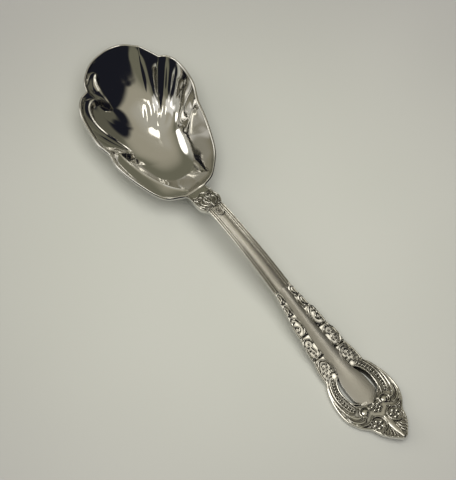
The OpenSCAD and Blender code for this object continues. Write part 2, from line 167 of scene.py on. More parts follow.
def swell(y):
    """How far each large cartouche swells out of the handle's outline."""
    high = np.zeros_like(y)
    for a, b in zip(CARTOUCHE_ENDS[2:-1], CARTOUCHE_ENDS[3:]):
        t = (y - a) / (b - a)
        lobe = np.sin(np.pi * clamp(t)) ** LOBE_ROUNDNESS
        high = np.maximum(high, np.where((t > 0) & (t < 1), lobe, 0))
    return LOBE_SWELL * high


def half_w(y):
    """Half the handle's width."""
    y = np.asarray(y, float)
    terminal = curve(TERMINAL_OUTLINE, y)
    row = mix(WAIST_W, STEM_END_W, (y - WAIST_Y) / CARTOUCHE_L) / 2 + swell(y)
    stem = mix(STEM_END_W, STEM_W, (y - GRIP_Y) / STEM_L) / 2
    grip = np.where(y < WAIST_Y, terminal, np.where(y < GRIP_Y, row, stem))
    return np.where(y > COLLAR_Y, curve(COLLAR_OUTLINE, y), grip)


def panel_half(y):
    return curve(PANEL_OUTLINE, np.asarray(y, float))


def slot_gap(y):
    """Width of the pierced slot beside the panel."""
    t = (WAIST_Y - BRIDGE_L - y) / SLOT_L
    width = SLOT_W * np.sqrt(np.clip(np.sin(np.pi * clamp(t)), 0, 1))
    return np.where((t > 0) & (t < 1), width, 0)


def crowned(x, y):
    """Face of the handle without its relief, which falls a little towards both edges."""
    along_collar = clamp((y - COLLAR_Y) / COLLAR_L)
    plain = face_h(y) - EDGE_DROP * (x / (GRIP_W / 2)) ** 2
    collar = face_h(y) - EDGE_DROP * (x / half_w(y)) ** 2 * (1 - along_collar)
    return np.where(y > COLLAR_Y, collar, plain)


def under_h(y):
    """Height of the handle's underside."""
    along_collar = clamp((y - COLLAR_Y) / COLLAR_L)
    belly_t = COLLAR_T - mix(STEM_T, FLOOR_T, 0.5)
    collar_t = mix(STEM_T, FLOOR_T, along_collar) + belly_t * np.sin(np.pi * along_collar)
    grip_t = mix(GRIP_T, STEM_T, ease((y - WAIST_Y) / CARTOUCHE_L))
    return face_h(y) - np.where(y > COLLAR_Y, collar_t, grip_t)


# Relief of the handle, as raised strokes and buds over its ground. Places are [x, y] on the right half.
GROUND = -RELIEF_H / 2


def near(x, y, points, reach):
    """Which of the places x, y lie in the box round some points."""
    p = np.array(points, float)
    low, high = p.min(0) - reach, p.max(0) + reach
    return (x > low[0]) & (x < high[0]) & (y > low[1]) & (y < high[1])


def from_line(x, y, line):
    """Distance from a line of points, the share of its length there, and the side of it."""
    best = np.full(x.shape, FAR_AWAY)
    share, side = np.zeros(x.shape), np.zeros(x.shape)
    for k, (a, b) in enumerate(zip(line[:-1], line[1:])):
        d = b - a
        f = clamp(((x - a[0]) * d[0] + (y - a[1]) * d[1]) / max(d @ d, TINY))
        px, py = x - a[0] - f * d[0], y - a[1] - f * d[1]
        r = np.hypot(px, py)
        closer = r < best
        best = np.where(closer, r, best)
        share = np.where(closer, (k + f) / (len(line) - 1), share)
        side = np.where(closer, np.sign(d[0] * py - d[1] * px), side)
    return best, share, side


def along(x, y, points, steps=10):
    """Distance from a smooth stroke through points, and the share of its length there."""
    line = trace(points, np.linspace(0, 1, steps * (len(points) - 1) + 1))
    return from_line(x, y, line)[:2]


def stroke(h, x, y, points, widths, height, base):
    """Raises a half-round stroke; widths run evenly along it."""
    on = near(x, y, points, max(widths))
    if not on.any():
        return
    r, share = along(x[on], y[on], points)
    half = np.interp(share, np.linspace(0, 1, len(widths)), widths) / 2
    raised = base + height * dome(r / half)
    h[on] = np.where(r < half, np.maximum(h[on], raised), h[on])


def strokes(h, x, y, table, base):
    """Raises the strokes of a table: the places, the widths and the height of each."""
    for points, widths, height in table:
        stroke(h, x, y, points, widths, height, base)


def groove(h, x, y, points, width, depth):
    """Sinks a soft line into what is there."""
    on = near(x, y, points, width)
    if not on.any():
        return
    r, _ = along(x[on], y[on], points)
    h[on] -= depth * hill(r / (width / 2))


def bud(h, x, y, place, size, height, turn=0.0, base=GROUND):
    """Raises an oval dome of full size [across, along] at a place."""
    c, s = math.cos(math.radians(turn)), math.sin(math.radians(turn))
    u = ((x - place[0]) * c + (y - place[1]) * s) / (size[0] / 2)
    v = ((y - place[1]) * c - (x - place[0]) * s) / (size[1] / 2)
    r = np.hypot(u, v)
    on = r < 1
    h[on] = np.maximum(h[on], base + height * dome(r[on]))


def bud_ring(h, x, y, centre, radii, first, step, count, size, height, turn):
    """Raises buds round a centre, from the angle first in equal steps, each turned with its angle."""
    for k in range(count):
        a = math.radians(first + step * k)
        place = [centre[0] + radii[0] * math.cos(a), centre[1] + radii[1] * math.sin(a)]
        bud(h, x, y, place, size, height, turn=turn + step * k)


def arc(centre, radius, start, end, squeeze=1.0, grow=0.0, n=7):
    """Points round a centre from one angle to another, in degrees, with the radius growing."""
    angles = np.radians(np.linspace(start, end, n))
    radii = np.linspace(radius, radius + grow, n)
    return [
        [centre[0] + r * math.cos(a), centre[1] + r * squeeze * math.sin(a)]
        for r, a in zip(radii, angles)
    ]


# Threads along the stem: distance of each from the stem's edge, and its width
THREADS = [(-0.1, 0.38), (0.57, 0.32), (1.15, 0.28)]
THREAD_BAND_W, THREAD_H, THREAD_START_L = 1.6, 0.42, 0.4


def threads(h, x, y):
    """Flat-topped ridges side by side along both edges of the stem."""
    edge = half_w(y) - x
    on = (y > GRIP_Y - THREAD_START_L) & (y < COLLAR_Y)
    ramp = ease((y - GRIP_Y + THREAD_START_L) / THREAD_START_L)
    for start, w in THREADS:
        t = (edge - start - w / 2) / (w / 2)
        ridge = GROUND + ramp * THREAD_H * np.sqrt(1 - np.minimum(t**4, 1))
        h[:] = np.where(on & (np.abs(t) < 1), np.maximum(h, ridge), h)


# Small cartouches: both ends of each along the handle, and its middle across it
SMALL_CARTOUCHES = [(-69.3, -66.0, 2.35), (-73.1, -69.7, 2.85)]
# Their strokes. A place is given across from the middle, and along from one of these three.
LOW, MID, HIGH = 0, 1, 2
SMALL_STROKES = [
    (
        [(-0.75, LOW, 0.2), (-0.85, MID, 0.3), (-0.3, HIGH, -0.35), (0.4, HIGH, -0.6), (0.75, MID, 0.6)],
        [0.4, 0.75, 0.75, 0.45], 0.5,
    ),
    ([(0.0, MID, 0.7), (-0.2, MID, -0.2), (0.1, LOW, 0.5)], [0.5, 0.75, 0.4], 0.48),
    ([(0.6, MID, 0.2), (0.5, MID, -0.6), (0.8, LOW, 0.2)], [0.3, 0.55, 0.35], 0.4),
]


def small_cartouches(h, x, y):
    for low, high, middle in SMALL_CARTOUCHES:
        levels = (low, (low + high) / 2, high)
        for places, widths, height in SMALL_STROKES:
            points = [[middle + dx, levels[k] + dy] for dx, k, dy in places]
            stroke(h, x, y, points, widths, height, GROUND)


# Large cartouches: rings that open towards the outside, with scrolls and leaves in them
LARGE_STROKES = [
    (
        [[4.3, -79.7], [2.9, -79.6], [2.05, -78.6], [1.8, -76.9],
         [2.2, -75.0], [3.3, -73.9], [4.3, -74.6], [4.6, -75.6]],
        [0.3, 0.5, 0.6, 0.6, 0.5, 0.3], 0.62,
    ),
    (
        [[3.1, -75.3], [3.9, -75.4], [4.1, -76.3], [3.3, -76.8], [3.0, -77.4], [3.5, -78.2], [4.2, -77.9]],
        [0.3, 0.5, 0.5, 0.45, 0.5, 0.3], 0.5,
    ),
    (
        [[2.3, -85.2], [2.3, -86.3], [3.2, -86.8], [4.6, -86.7], [5.4, -85.2],
         [5.5, -83.2], [4.9, -81.6], [3.7, -80.9], [2.6, -81.6], [2.4, -82.6]],
        [0.35, 0.5, 0.55, 0.55, 0.5, 0.5, 0.35], 0.62,
    ),
    ([[2.9, -82.8], [3.4, -83.6], [3.1, -84.6], [3.2, -85.4]], [0.3, 0.45, 0.3], 0.42),
    (
        [[2.35, -93.6], [1.9, -92.0], [2.0, -90.2], [2.8, -88.5], [4.0, -87.9], [5.2, -88.8], [5.6, -90.2]],
        [0.4, 0.5, 0.55, 0.55, 0.5, 0.3], 0.6,
    ),
    ([[3.0, -89.6], [3.8, -88.9], [4.6, -89.3]], [0.25, 0.4, 0.25], 0.4),
]
# Seeds in the middle ring and berries in the lowest one: places, size and height
SEEDS = ([[3.6, -82.3], [4.25, -83.1], [4.35, -84.1], [4.0, -85.0], [3.9, -85.9]], [0.62, 0.7], 0.5)
BERRIES = (
    [[3.45, -90.2], [4.5, -90.1], [5.2, -91.1], [4.1, -91.1], [2.95, -91.2],
     [4.85, -92.1], [3.55, -92.3], [5.35, -93.2], [2.75, -92.4], [4.2, -93.0]],
    [0.72, 0.72], 0.52,
)
# Grooves between neighbours run outwards from here, slightly aslant and past the edge
GROOVE_X, GROOVE_PAST, GROOVE_SLANT, GROOVE_W, GROOVE_D = 2.0, 0.3, 0.1, 0.5, 0.2


def large_cartouches(h, x, y):
    strokes(h, x, y, LARGE_STROKES, GROUND)
    for places, size, height in (SEEDS, BERRIES):
        for place in places:
            bud(h, x, y, place, size, height)
    for end in CARTOUCHE_ENDS[1:-1]:
        outside = [float(half_w(end)) + GROOVE_PAST, end + GROOVE_SLANT]
        groove(h, x, y, [[GROOVE_X, end], outside], GROOVE_W, GROOVE_D)


BEAD_ROW = [
    [4.3, -93.9], [4.95, -95.2], [5.65, -96.7], [6.2, -98.3],
    [6.5, -100.2], [6.4, -102.2], [6.0, -103.9], [5.35, -105.4],
]
BEAD_PITCH, BEAD_SIZE, BEAD_H = 0.9, [0.98, 0.78], 0.68
# Sweeping ridges outside the beads, and one that curls in below the slot
BAND_STROKES = [
    (
        [[4.9, -93.0], [6.3, -95.4], [7.1, -98.0], [7.35, -100.4],
         [7.1, -102.8], [6.6, -104.6], [5.9, -105.6]],
        [0.3, 0.5, 0.55, 0.6, 0.6, 0.4], 0.5,
    ),
    (
        [[5.4, -92.6], [7.0, -95.4], [7.9, -98.2], [8.15, -100.8],
         [8.0, -103.2], [7.5, -105.2], [6.5, -106.5]],
        [0.3, 0.5, 0.5, 0.7, 0.8, 0.4], 0.5,
    ),
    ([[5.0, -101.5], [4.9, -103.2], [4.3, -105.0], [3.7, -105.6]], [0.2, 0.5, 0.6, 0.3], 0.5),
]
SLOT_RIM_X, SLOT_RIM_PAST, SLOT_RIM_WIDTHS, SLOT_RIM_H = 0.28, 0.2, [0.5, 0.6, 0.6, 0.5], 0.5


def bands(h, x, y):
    """Bead row, the raised edges of the slots and the sweeping ridges outside them."""
    length = sum(math.dist(a, b) for a, b in zip(BEAD_ROW, BEAD_ROW[1:]))
    count = int(length / BEAD_PITCH)
    for place in trace(BEAD_ROW, (np.arange(count) + 0.5) / count):
        bud(h, x, y, place, BEAD_SIZE, BEAD_H)
    ys = np.linspace(WAIST_Y - SLOT_RIM_PAST, TERMINAL_Y + SLOT_RIM_PAST, 9)
    edge = [[float(panel_half(v) + slot_gap(v)) + SLOT_RIM_X, v] for v in ys]
    stroke(h, x, y, edge, SLOT_RIM_WIDTHS, SLOT_RIM_H, GROUND)
    strokes(h, x, y, BAND_STROKES, GROUND)


RIM_BAND_X, RIM_BAND_REACH, RIM_BAND_H, RIM_BAND_PAST = 0.32, 0.36, 0.4, 0.5


def rim_band(h, x, y):
    """Raised rim along the handle's edge outside the stem."""
    t = (half_w(y) - x - RIM_BAND_X) / RIM_BAND_REACH
    on = (y < GRIP_Y + RIM_BAND_PAST) & (np.abs(t) < 1)
    h[:] = np.where(on, np.maximum(h, GROUND + RIM_BAND_H * dome(t)), h)


VOLUTE_EYE = [3.5, -107.3]
VOLUTE_STROKES = [
    (arc(VOLUTE_EYE, 1.45, -75, 190, grow=0.2), [0.4, 0.6, 0.65, 0.4], 0.6),
    (
        [[8.0, -103.9], [7.5, -105.8], [6.6, -107.3], [5.6, -107.9], [4.9, -107.3]],
        [0.4, 0.9, 1.1, 0.9, 0.4], 0.58,
    ),
    (
        [[8.5, -105.6], [7.9, -107.6], [6.7, -109.0], [5.4, -109.4], [4.6, -108.8]],
        [0.3, 0.75, 1.0, 0.8, 0.35], 0.55,
    ),
    (
        [[7.7, -108.8], [6.6, -110.2], [5.1, -110.7], [3.7, -110.3], [2.6, -109.2]],
        [0.3, 0.6, 0.75, 0.6, 0.3], 0.55,
    ),
]


def volutes(h, x, y):
    """Scroll at each shoulder, with leaf fingers that sweep into it."""
    bud(h, x, y, VOLUTE_EYE, [2.1, 2.3], 0.5)
    strokes(h, x, y, VOLUTE_STROKES, GROUND)


FLOWER = [0.0, -107.9]


def central_flower(h, x, y):
    """Six petals round a heart, with five small leaves above them."""
    bud_ring(h, x, y, FLOWER, (1.1, 1.15), 30, 60, 6, [1.0, 1.15], 0.55, turn=120)
    bud(h, x, y, FLOWER, [0.85, 0.85], 0.7)
    bud_ring(h, x, y, FLOWER, (2.75, 2.75), 42, 24, 5, [0.62, 1.05], 0.45, turn=-48)


BLOSSOM = [2.9, -112.5]
BLOSSOM_LEAVES = [[4.4, -111.2], [5.2, -111.6], [4.7, -113.2], [4.3, -114.6]]


def blossoms(h, x, y):
    """Flower in a curled band on each side, below the volutes."""
    band = arc(BLOSSOM, 2.15, 75, 285, squeeze=1.15, n=9)
    stroke(h, x, y, band, [0.3, 0.5, 0.55, 0.5, 0.3], 0.58, GROUND)
    bud_ring(h, x, y, BLOSSOM, (1.05, 1.15), 90, 72, 5, [1.15, 1.3], 0.5, turn=0)
    bud(h, x, y, BLOSSOM, [0.7, 0.7], 0.65)
    for place in BLOSSOM_LEAVES:
        bud(h, x, y, place, [0.6, 0.85], 0.5, turn=-20)


# Smooth leaf on the axis, then the curled leaves beside it
SHELL_STROKES = [
    ([[0.0, -111.4], [0.0, -113.4], [0.0, -116.5], [0.0, -119.5]], [0.8, 1.9, 1.7, 0.8], 0.36),
    ([[1.1, -115.2], [1.3, -116.6], [1.9, -117.7], [2.8, -118.0]], [0.25, 0.5, 0.55, 0.3], 0.52),
    ([[1.8, -115.7], [2.2, -116.5], [3.0, -117.0], [3.9, -116.5]], [0.25, 0.55, 0.6, 0.3], 0.52),
    ([[0.95, -117.0], [1.1, -118.0], [1.5, -118.8]], [0.25, 0.45, 0.3], 0.52),
    ([[2.9, -115.3], [3.6, -115.8], [4.5, -115.4]], [0.3, 0.5, 0.3], 0.52),
]

COLLAR_BULGE, COLLAR_SUNK, COLLAR_START_L = 0.5, 0.32, 0.3
# Tongue: where its wavy edge lies, the wave's height and rate, the edge's bow, and its slope's length
TONGUE_Y, TONGUE_WAVE, TONGUE_RATE, TONGUE_BOW, TONGUE_SLOPE_L = -27.6, 0.35, 2.1, 0.06, 0.35
# Rim along the collar's sides: inset, reach, height, and where it fades out towards the bowl
COLLAR_RIM_X, COLLAR_RIM_REACH, COLLAR_RIM_H, COLLAR_RIM_Y, COLLAR_RIM_FADE_L = 0.25, 0.35, 0.3, -26.0, 0.8
COLLAR_GROUND = 0.1
COLLAR_STROKES = [
    ([[0.0, -34.0], [0.0, -32.6], [0.0, -31.2]], [0.7, 0.6, 0.3], 0.45),
    ([[0.3, -32.6], [0.9, -31.4], [1.0, -30.2], [0.5, -29.6]], [0.3, 0.6, 0.5, 0.4], 0.45),
    ([[0.9, -33.4], [1.9, -32.4], [2.3, -31.0], [1.8, -30.2]], [0.3, 0.6, 0.6, 0.4], 0.45),
    ([[2.5, -33.0], [3.1, -31.8], [3.1, -30.4]], [0.3, 0.5, 0.3], 0.45),
    ([[0.0, -30.4], [0.0, -29.4], [0.0, -28.4]], [0.4, 0.8, 0.3], 0.45),
    ([[0.8, -29.0], [1.4, -28.4], [2.1, -28.6]], [0.4, 0.6, 0.3], 0.45),
    ([[1.6, -29.6], [2.5, -29.2], [3.0, -28.2]], [0.3, 0.6, 0.3], 0.45),
]


def collar_relief(h, x, y):
    """Plain tongue on the bowl's side and a palmette on the stem's side."""
    ax = np.abs(x)
    bulge = COLLAR_BULGE * np.sin(np.pi * clamp((y - COLLAR_Y) / COLLAR_L))
    tongue_end = TONGUE_Y + TONGUE_WAVE * np.cos(ax * TONGUE_RATE) - TONGUE_BOW * ax * ax
    tongue = ease((y - tongue_end) / TONGUE_SLOPE_L)
    start = ease((y - COLLAR_Y) / COLLAR_START_L)
    ground = -COLLAR_SUNK * start * (1 - tongue)
    rim = COLLAR_RIM_H * hill((half_w(y) - ax - COLLAR_RIM_X) / COLLAR_RIM_REACH)
    rim = rim * start * (1 - ease((y - COLLAR_RIM_Y) / COLLAR_RIM_FADE_L))
    h[:] = np.where(y > COLLAR_Y, bulge + ground + rim, h)
    strokes(h, ax, y, COLLAR_STROKES, COLLAR_GROUND)
    bud(h, ax, y, [0.95, -30.3], [0.7, 0.7], 0.75, base=0.0)
    bud(h, ax, y, [2.0, -34.0], [1.2, 0.5], 0.5, base=0.05)


SCROLL = [0.0, -37.1]
SCROLL_GROUND = GROUND + 0.25


def stem_scroll(h, x, y):
    """Small spiral at the stem's end by the collar, between two short leaves."""
    spiral = arc(SCROLL, 0.45, 90, 470, grow=0.65, n=11)
    stroke(h, x, y, spiral, [0.25, 0.4, 0.42, 0.3], 0.3, SCROLL_GROUND)
    leaf = [[0.2, -35.2], [0.7, -35.6], [1.05, -36.4]]
    stroke(h, np.abs(x), y, leaf, [0.3, 0.4, 0.25], 0.3, SCROLL_GROUND)


# The panel ends round at the flower over this length, and takes the stem's width over the next one
PANEL_END, PANEL_TO_STEM_L = 1.7, 1.5
PANEL_LIFT = 0.06
# The panel's crown turns into the stem's flatter one over this length, from this far before the stem
STEM_CROWN, CROWN_BLEND_L, CROWN_BLEND_BEFORE = 0.14, 10, 6


def panel_side(y):
    """Half the width of the plain panel, which runs up the stem and ends round at the flower."""
    past_end = np.maximum(TERMINAL_Y - y, 0) / PANEL_END
    wide = panel_half(np.maximum(y, TERMINAL_Y)) * np.sqrt(np.clip(1 - past_end**2, 0, 1))
    narrow = mix(PANEL_START_W / 2, half_w(y) - THREAD_BAND_W, ease((y - GRIP_Y) / PANEL_TO_STEM_L))
    return np.where(y > GRIP_Y, narrow, wide)


def relief(x, y):
    """Height of the relief over the crowned face of the whole handle, at arrays of places."""
    x, y = np.broadcast_arrays(np.asarray(x, float), np.asarray(y, float))
    x, y = x.copy(), y.copy()
    ax = np.abs(x)
    wide = panel_side(y)
    crown = mix(PANEL_CROWN, STEM_CROWN, ease((y - GRIP_Y + CROWN_BLEND_BEFORE) / CROWN_BLEND_L))
    panel = GROUND + crown * (1 - np.minimum((ax / np.maximum(wide, 0.1)) ** 2, 1)) + PANEL_LIFT
    h = np.where((ax < wide) & (y < COLLAR_Y), panel, GROUND)
    threads(h, ax, y)
    rim_band(h, ax, y)
    small_cartouches(h, ax, y)
    large_cartouches(h, ax, y)
    bands(h, ax, y)
    volutes(h, ax, y)
    central_flower(h, x, y)
    blossoms(h, ax, y)
    strokes(h, ax, y, SHELL_STROKES, GROUND)
    stem_scroll(h, x, y)
    collar_relief(h, x, y)
    return h


EDGE_ROUNDING = 0.18


def face_at(x, y):
    """Height of the face with its relief, rounded off at the handle's edges."""
    edge = half_w(y) - np.abs(x)
    rounding = EDGE_ROUNDING * (1 - dome(1 - clamp(edge / EDGE_ROUNDING)))
    return crowned(x, y) + relief(x, y) - rounding


# Materials
STEEL_COLOUR = (0.64, 0.625, 0.585)
# The second mirror colour and the last colour here are painted shade, laid into recesses
MIRROR_COLOUR, MIRROR_SHADE_COLOUR = (0.62, 0.61, 0.585), (0.3, 0.29, 0.27)
SATIN_COLOUR, SATIN_ROUGHNESS = (0.56, 0.54, 0.50), 0.4
SHADE_COLOUR = (0.03, 0.027, 0.02)
# Patches of wear and the drawn grain, in the scale and detail of their noise
WEAR_SCALE, WEAR_DETAIL, GRAIN_DETAIL = 160.0, 3.0, 2.0
GRAIN_STRENGTH, GRAIN_DEPTH = 0.05, 0.02


def feed(tree, socket, value):
    """Sets an input to a plain value, or links it to the output that is given."""
    if isinstance(value, bpy.types.NodeSocket):
        tree.links.new(value, socket)
    else:
        socket.default_value = value


def node(tree, kind, **inputs):
    """New shader node with its inputs fed."""
    n = tree.nodes.new(kind)
    for key, value in inputs.items():
        feed(tree, n.inputs[key.replace("_", " ")], value)
    return n


def blend(tree, factor, first, second):
    """Mixes two colours, each an output or a plain colour."""
    n = tree.nodes.new("ShaderNodeMix")
    n.data_type = "RGBA"
    feed(tree, n.inputs["Factor"], factor)
    for name, value in (("A", first), ("B", second)):
        feed(tree, n.inputs[name], (*value, 1) if isinstance(value, tuple) else value)
    return n.outputs["Result"]


def painted(tree, name):
    """Value that a mesh holds for each of its points."""
    n = tree.nodes.new("ShaderNodeAttribute")
    n.attribute_name = name
    return n.outputs["Fac"]


def new_material(name):
    """Material with its node tree, its shader and the places on the object as an output."""
    m = bpy.data.materials.new(name)
    m.use_nodes = True
    t = m.node_tree
    return m, t, t.nodes["Principled BSDF"], node(t, "ShaderNodeTexCoord").outputs["Object"]


def metal(name, colour, painted_shade, roughness, spread, grain, shade_share):
    """Polished steel with drawn grain, worn patches, painted shade in recesses and satin areas."""
    m, t, shader, place = new_material(name)
    shader.inputs["Metallic"].default_value = 1.0
    satin = painted(t, "satin")
    wear = node(t, "ShaderNodeTexNoise", Vector=place, Scale=WEAR_SCALE, Detail=WEAR_DETAIL)
    least, most = roughness - spread, roughness + spread
    rough = node(t, "ShaderNodeMapRange", Value=wear.outputs["Fac"], To_Min=least, To_Max=most)
    matt = node(t, "ShaderNodeMix", Factor=satin, A=rough.outputs["Result"], B=SATIN_ROUGHNESS)
    feed(t, shader.inputs["Roughness"], matt.outputs["Result"])

    # Painted shade: the colour turns towards the dark one in recesses, by the recess attribute times its
    # share
    amount = t.nodes.new("ShaderNodeMath")
    amount.operation = "MULTIPLY"
    feed(t, amount.inputs[0], painted(t, "recess_shade"))
    feed(t, amount.inputs[1], shade_share)
    plain = blend(t, satin, colour, SATIN_COLOUR)
    feed(t, shader.inputs["Base Color"], blend(t, amount.outputs[0], plain, painted_shade))

    stretch = node(t, "ShaderNodeMapping", Vector=place, Scale=grain)
    lines = node(t, "ShaderNodeTexNoise", Vector=stretch.outputs["Vector"], Scale=1.0, Detail=GRAIN_DETAIL)
    bump = node(
        t, "ShaderNodeBump", Strength=GRAIN_STRENGTH, Distance=GRAIN_DEPTH * MM, Height=lines.outputs["Fac"]
    )
    feed(t, shader.inputs["Normal"], bump.outputs["Normal"])
    return m


MIRROR = metal("mirror_steel", MIRROR_COLOUR, MIRROR_SHADE_COLOUR, 0.06, 0.02, (400, 400, 400), shade_share=0.4)
SATIN = metal("satin_steel", STEEL_COLOUR, SHADE_COLOUR, 0.14, 0.04, (2500, 120, 300), shade_share=0.7)
RELIEF = metal("relief_steel", STEEL_COLOUR, SHADE_COLOUR, 0.1, 0.03, (500, 500, 500), shade_share=0.92)


def new_object(name, data):
    piece = bpy.data.objects.new(name, data)
    bpy.context.scene.collection.objects.link(piece)
    return piece


def solid(name, points, groups, material, nodes, values):
    """Mesh object from points in mm; groups are (faces, smooth) pairs, values are one list a vertex each."""
    faces = [f for group, _ in groups for f in group]
    mesh = bpy.data.meshes.new(name)
    mesh.from_pydata((np.asarray(points) * MM).tolist(), [], faces)
    smooth = [s for group, s in groups for _ in group]
    mesh.polygons.foreach_set("use_smooth", smooth)
    for key, value in values.items():
        layer = mesh.attributes.new(key, "FLOAT", "POINT")
        layer.data.foreach_set("value", np.asarray(value, np.float32))
    mesh.update()
    mesh.validate()
    piece = new_object(name, mesh)
    piece.data.materials.append(material)
    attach(piece, "root")
    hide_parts(*nodes)
    return piece


# Painted shade in recesses is read from the relief at rings of places round each place, a narrow and a broad
# one:
# reach, count of places, the rise of the surroundings where it starts, and the rise where it is full
NARROW_REACH, NARROW_N, NARROW_START, NARROW_FULL = 0.24, 6, 0.03, 0.13
COLLAR_NARROW_FULL = 0.09
BROAD_REACH, BROAD_N, BROAD_FULL, BROAD_SHARE = 0.6, 8, 0.2, 0.65
# Only what lies below this height over the ground counts, fading out over the next one
RECESS_TOP, RECESS_FADE = 0.3, 0.2
# Satin areas: the panel and a strip along the tip's leaf
SATIN_FADE, LEAF_HALF_W, LEAF_FADE, LEAF_Y = 0.15, 0.8, 0.2, -112.0
SATIN_SHORT_OF_COLLAR = 0.05


def around(x, y, reach, n):
    """Mean height of the relief at n places round each place."""
    angles = np.linspace(0, 2 * math.pi, n + 1)[:-1]
    return sum(relief(x + reach * math.cos(a), y + reach * math.sin(a)) for a in angles) / n


def recess_shade_of(x, y):
    """How deep a place lies beside its neighbours, from 0 to 1, which is how much painted shade it gets."""
    h = relief(x, y)
    narrow_full = np.where(y > COLLAR_Y, COLLAR_NARROW_FULL, NARROW_FULL)
    narrow = clamp((around(x, y, NARROW_REACH, NARROW_N) - h - NARROW_START) / narrow_full)
    broad = BROAD_SHARE * clamp((around(x, y, BROAD_REACH, BROAD_N) - h) / BROAD_FULL)
    low = np.where(y > COLLAR_Y, 1, clamp((GROUND + RECESS_TOP - h) / RECESS_FADE))
    return np.maximum(narrow, broad) * low


def satin_of(x, y):
    """1 on the plain panel and on the leaf at the tip, 0 on polished relief."""
    on_panel = (y < COLLAR_Y - SATIN_SHORT_OF_COLLAR) & (y > TERMINAL_Y - PANEL_END)
    panel = clamp((panel_side(y) - np.abs(x)) / SATIN_FADE) * on_panel
    leaf = clamp((LEAF_HALF_W - np.abs(x)) / LEAF_FADE) * (y < LEAF_Y)
    return np.maximum(panel, leaf)


def quads(rows, columns, width):
    """Faces between neighbouring rows of a grid, over its first columns. A row has width points."""
    j, i = np.mgrid[0 : rows - 1, 0 : columns - 1]
    a = j * width + i
    return np.stack([q.ravel() for q in (a, a + 1, a + width + 1, a + width)], 1).tolist()


def columns_of(lo, hi, n, threaded):
    """Places across the face in n steps, a row for each station along the handle."""
    if not threaded:
        return lo[:, None] + (hi - lo)[:, None] * np.linspace(0, 1, n + 1)
    # Columns that keep to the threads along both edges
    band_n = n // 3
    band = np.linspace(0, THREAD_BAND_W, band_n + 1)
    middle = np.linspace(-1, 1, n - 2 * band_n + 1)[1:-1]
    half = hi[:, None]
    return np.concatenate([band - half, middle * (half - THREAD_BAND_W), half - band[::-1]], 1)


# The borders' walls lean into the slots by this much
SLOT_DRAFT = 0.3
WALL_STEPS, UNDER_STEPS = 6, 5
SPACING = 0.1


def wall_rows(ys, edge, z_edge, sign, rounded, leaning):
    """Rows of points down a side: rounded where it is the handle's edge, plain elsewhere."""
    inset = np.minimum(UNDER_INSET, half_w(ys) / 2)
    lean = SLOT_DRAFT * slot_gap(ys) / SLOT_W * leaning
    rows = []
    for s in np.linspace(0, 1, WALL_STEPS + 1)[1:]:
        if rounded:
            a = s * math.pi / 2
            rows.append((edge - sign * inset * (1 - math.cos(a)), mix(z_edge, under_h(ys), math.sin(a))))
        else:
            rows.append((edge + sign * lean * s, mix(z_edge, under_h(ys), s)))
    return rows


def stations(a, b):
    return np.linspace(a, b, max(2, int(abs(b - a) / SPACING)) + 1)


def slab(region, ys, n, left, right, edges, material):
    """Region of the handle between two sides. edges names those that are the handle's own edges."""
    m = len(ys)
    lo, hi = left(ys), right(ys)
    x = columns_of(lo, hi, n, region == "stem")
    y = np.repeat(ys[:, None], n + 1, 1)
    z = face_at(x, y)
    down_right = wall_rows(ys, hi, z[:, -1], 1, "right" in edges, bool(edges))
    down_left = wall_rows(ys, lo, z[:, 0], -1, "left" in edges, bool(edges))
    low_right = down_right[-1][0]
    low_left = lo + (np.minimum(UNDER_INSET, half_w(ys) / 2) if "left" in edges else 0)
    under = [
        (mix(low_right, low_left, s), under_h(ys)) for s in np.linspace(0, 1, UNDER_STEPS + 1)[1:-1]
    ]
    ring = [np.stack([px, ys, pz], -1) for px, pz in down_right + under + down_left[::-1]]
    loop = np.concatenate([np.stack([x, y, z], -1), np.stack(ring, 1)], 1)
    c = loop.shape[1]

    side_faces, inner_faces = [], []
    for k in range(n, c):
        k2 = (k + 1) % c
        plain_right = k < n + WALL_STEPS and "right" not in edges
        plain_left = k >= c - WALL_STEPS and "left" not in edges
        group = inner_faces if plain_right or plain_left else side_faces
        for j in range(m - 1):
            group.append([j * c + k, j * c + k2, (j + 1) * c + k2, (j + 1) * c + k])
    # The end faces have corners of their own, so that the face's shading runs on to the next region
    first = m * c
    points = np.concatenate([loop.reshape(-1, 3), loop[0], loop[-1]])
    ends = [[first + k for k in range(c)][::-1], [first + c + k for k in range(c)]]

    # Painted shade in the relief's recesses, and the satin areas
    recess_shade, satin = np.zeros((m, c)), np.zeros((m, c))
    recess_shade[:, : n + 1] = recess_shade_of(x, y)
    satin[:, : n + 1] = satin_of(x, y)
    # The sawn walls of the slots get full painted shade
    if "right" not in edges:
        recess_shade[:, n + 1 : n + 1 + WALL_STEPS] = 1
    if "left" not in edges:
        recess_shade[:, -WALL_STEPS:] = 1
    values = {}
    for key, value in (("recess_shade", recess_shade), ("satin", satin)):
        values[key] = np.concatenate([value.reshape(-1), value[0], value[-1]])
    groups = [(quads(m, n + 1, c), True), (side_faces, True), (inner_faces, False), (ends, False)]
    return solid(region + "_metal", points, groups, material, [region], values)


def slot_side(y):
    """Side of the slot away from the panel."""
    return panel_half(y) + slot_gap(y)


def collar_half(y):
    """Half the collar's width, also at the very place where the stem ends."""
    return half_w(y + HAIR)


def handle():
    both = ("left", "right")
    grip = stations(TERMINAL_Y, GRIP_Y)
    collar = stations(COLLAR_Y, NECK_Y)
    stem = stations(GRIP_Y, COLLAR_Y)
    terminal = stations(TIP_Y, TERMINAL_Y)
    slab("collar", collar, 76, lambda y: -collar_half(y), collar_half, both, RELIEF)
    slab("stem", stem, 110, lambda y: -half_w(y), half_w, both, SATIN)
    slab("panel", grip, 60, lambda y: -panel_half(y), panel_half, (), SATIN)
    slab("border_left", grip, 60, lambda y: -half_w(y), lambda y: -slot_side(y), ("left",), RELIEF)
    slab("border_right", grip, 60, slot_side, half_w, ("right",), RELIEF)
    slab("terminal", terminal, 190, lambda y: -half_w(y), half_w, both, RELIEF)


